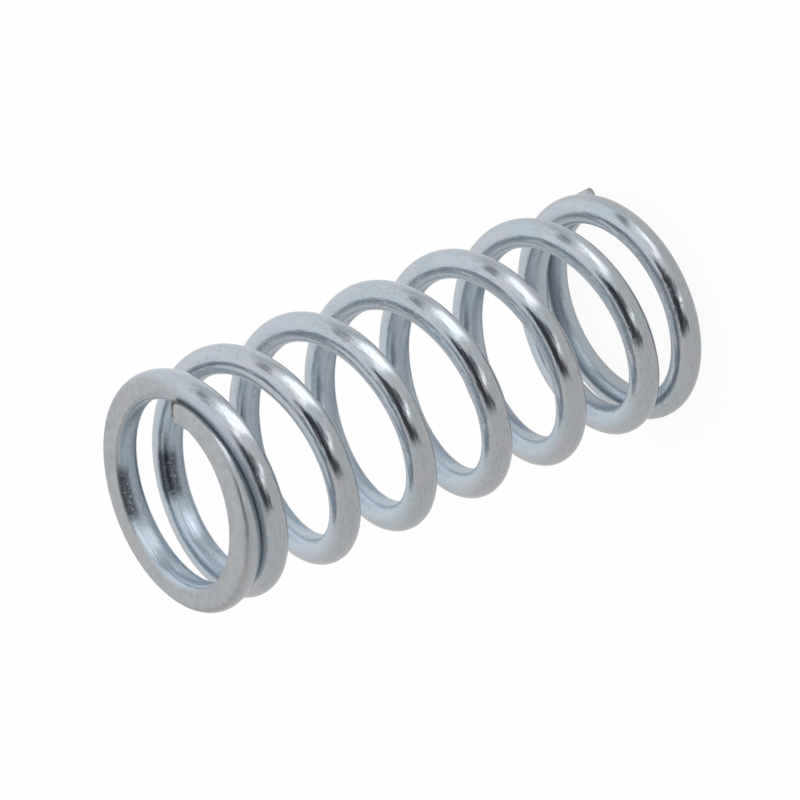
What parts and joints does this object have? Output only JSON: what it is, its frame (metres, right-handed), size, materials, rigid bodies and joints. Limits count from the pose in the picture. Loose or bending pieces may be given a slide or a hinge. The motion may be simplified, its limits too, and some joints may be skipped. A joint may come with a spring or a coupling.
{
  "type": "compression spring",
  "caption": "Helical compression spring of round zinc-plated wire, with closed, ground ends, that fits over an adjusting bolt and pushes a handle back against its nut.",
  "frame": {"origin": "centre of the lower ground end, on the axis of the coil", "axes": "+Z along the axis of the coil, from the lower ground end to the upper one; +X through the wire's lower tip"},
  "size_m": [0.016, 0.016, 0.0388],
  "materials": {
    "zinc_plated_wire": "bright zinc plate on drawn spring wire, satin with hard highlights, matt grey where ground"
  },
  "bodies": {
    "root": {"spring": "zinc_plated_wire"}
  },
  "joints": []
}
